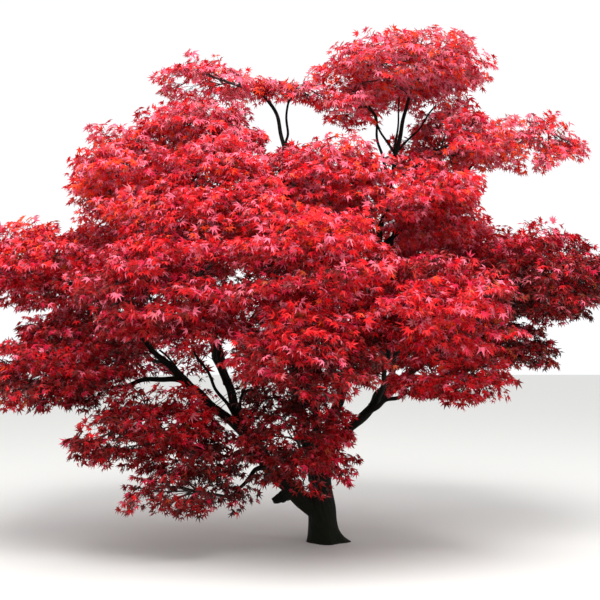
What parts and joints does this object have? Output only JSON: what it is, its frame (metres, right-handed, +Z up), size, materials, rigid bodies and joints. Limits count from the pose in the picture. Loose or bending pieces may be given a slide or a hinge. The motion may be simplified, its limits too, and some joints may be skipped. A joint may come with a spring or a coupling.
{
  "type": "japanese maple tree",
  "caption": "Japanese maple in red autumn leaf: a short leaning trunk with a root flare, long arching boughs and layered masses of foliage, cut flat at the ground.",
  "frame": {"origin": "middle of the flat cut under the trunk, at ground level", "axes": "+Z up along the trunk's foot; +X to the right and +Y to the far side as the tree is seen in its front view"},
  "size_m": [5.5292, 4.6104, 4.3886],
  "materials": {
    "bark": "dark, finely fissured bark",
    "foliage": "thin matt leaves, scarlet to maroon"
  },
  "bodies": {
    "root": {"bough_arm_right": "bark", "bough_back_centre": "bark", "bough_back_left": "bark", "bough_back_low_centre": "bark", "bough_back_low_left": "bark", "bough_back_low_right": "bark", "bough_back_right": "bark", "bough_bottom_left": "bark", "bough_centre_front": "bark", "bough_centre_low": "bark", "bough_centre_top": "bark", "bough_crown_left": "bark", "bough_crown_right": "bark", "bough_crown_top": "bark", "bough_left_arm": "bark", "bough_left_front": "bark", "bough_left_skirt": "bark", "bough_left_stem": "bark", "bough_low_left": "bark", "bough_right_front": "bark", "bough_right_front_low": "bark", "bough_right_outer": "bark", "bough_right_under": "bark", "bough_right_upper": "bark", "bough_shoulder_inner": "bark", "bough_shoulder_outer": "bark", "bough_spray_middle": "bark", "bough_top_left": "bark", "bough_top_left_low": "bark", "bough_trunk_front": "bark", "foliage_arm_right": "foliage", "foliage_back_centre": "foliage", "foliage_back_left": "foliage", "foliage_back_low_centre": "foliage", "foliage_back_low_left": "foliage", "foliage_back_low_right": "foliage", "foliage_back_right": "foliage", "foliage_bottom_left": "foliage", "foliage_centre_front": "foliage", "foliage_centre_low": "foliage", "foliage_centre_top": "foliage", "foliage_crown_left": "foliage", "foliage_crown_right": "foliage", "foliage_crown_top": "foliage", "foliage_left_arm": "foliage", "foliage_left_front": "foliage", "foliage_left_skirt": "foliage", "foliage_low_left": "foliage", "foliage_right_front": "foliage", "foliage_right_front_low": "foliage", "foliage_right_outer": "foliage", "foliage_right_under": "foliage", "foliage_right_upper": "foliage", "foliage_shoulder_inner": "foliage", "foliage_shoulder_outer": "foliage", "foliage_spray_middle": "foliage", "foliage_top_left": "foliage", "foliage_top_left_low": "foliage", "foliage_trunk_front": "foliage", "trunk": "bark"}
  },
  "joints": []
}
